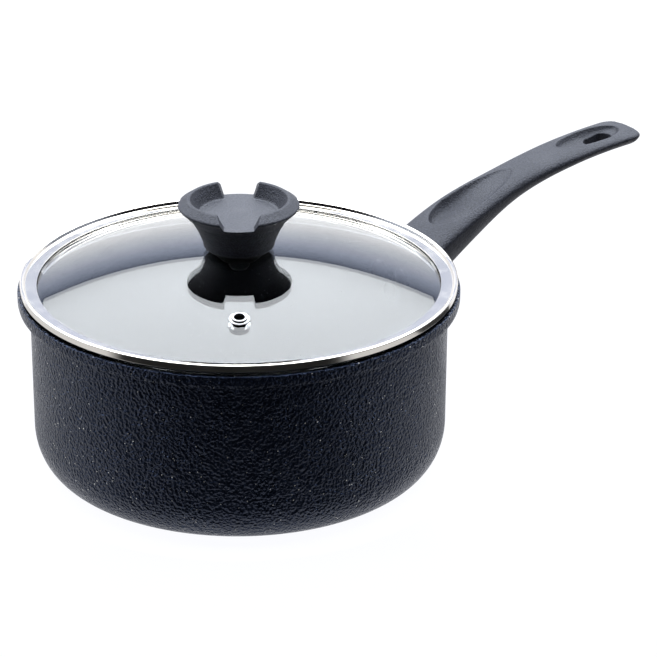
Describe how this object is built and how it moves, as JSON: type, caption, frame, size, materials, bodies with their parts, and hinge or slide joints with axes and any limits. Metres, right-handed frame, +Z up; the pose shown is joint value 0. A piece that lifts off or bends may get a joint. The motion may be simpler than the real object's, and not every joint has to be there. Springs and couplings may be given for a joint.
{
  "type": "saucepan with glass lid",
  "caption": "Single-handled cooking pan with a textured dark body, a moulded handle and a lift-off domed glass lid with a steel rim, steam vent and cup-shaped knob.",
  "frame": {"origin": "centre of the underside, on the surface the pan stands on", "axes": "+X along the handle away from the pan, +Z up, +Y to the left seen from the pan towards the handle's tip"},
  "size_m": [0.3244, 0.1872, 0.1178],
  "materials": {
    "hammered_coating": "cast aluminium under a dark blue-black coating with a fine hammered grain, semi-matt",
    "base_steel": "round-brushed stainless base disc",
    "cast_alloy": "as-cast aluminium, matt",
    "rivet_alloy": "plain headed aluminium",
    "soft_touch_plastic": "dark grey thermoset moulding with a fine matt grain",
    "plain_steel": "plain zinc-plated steel",
    "polished_steel": "mirror-polished stainless steel",
    "tempered_glass": "clear tempered glass, polished",
    "silicone_rubber": "black silicone, matt",
    "insert_brass": "turned brass insert"
  },
  "bodies": {
    "pan": {"pan_body": "hammered_coating", "base_disc": "base_steel", "handle_bracket": "cast_alloy", "bracket_rivet_left": "rivet_alloy", "bracket_rivet_right": "rivet_alloy", "bracket_rivet_lower": "rivet_alloy", "handle_grip": "soft_touch_plastic", "handle_screw": "plain_steel", "handle_lock_washer": "plain_steel"},
    "lid": {"lid_glass": "tempered_glass", "lid_band": "polished_steel", "vent_eyelet": "polished_steel", "vent_washer": "polished_steel", "knob_body": "soft_touch_plastic", "knob_gasket_upper": "silicone_rubber", "knob_gasket_lower": "silicone_rubber", "knob_steel_washer": "plain_steel", "knob_lock_washer": "plain_steel", "knob_screw": "plain_steel", "knob_insert": "insert_brass"}
  },
  "joints": [
    {"name": "lid_lift", "type": "slide", "parent": "pan", "child": "lid", "axis": [0, 0, 1], "range_m": [0, 0.12]}
  ]
}
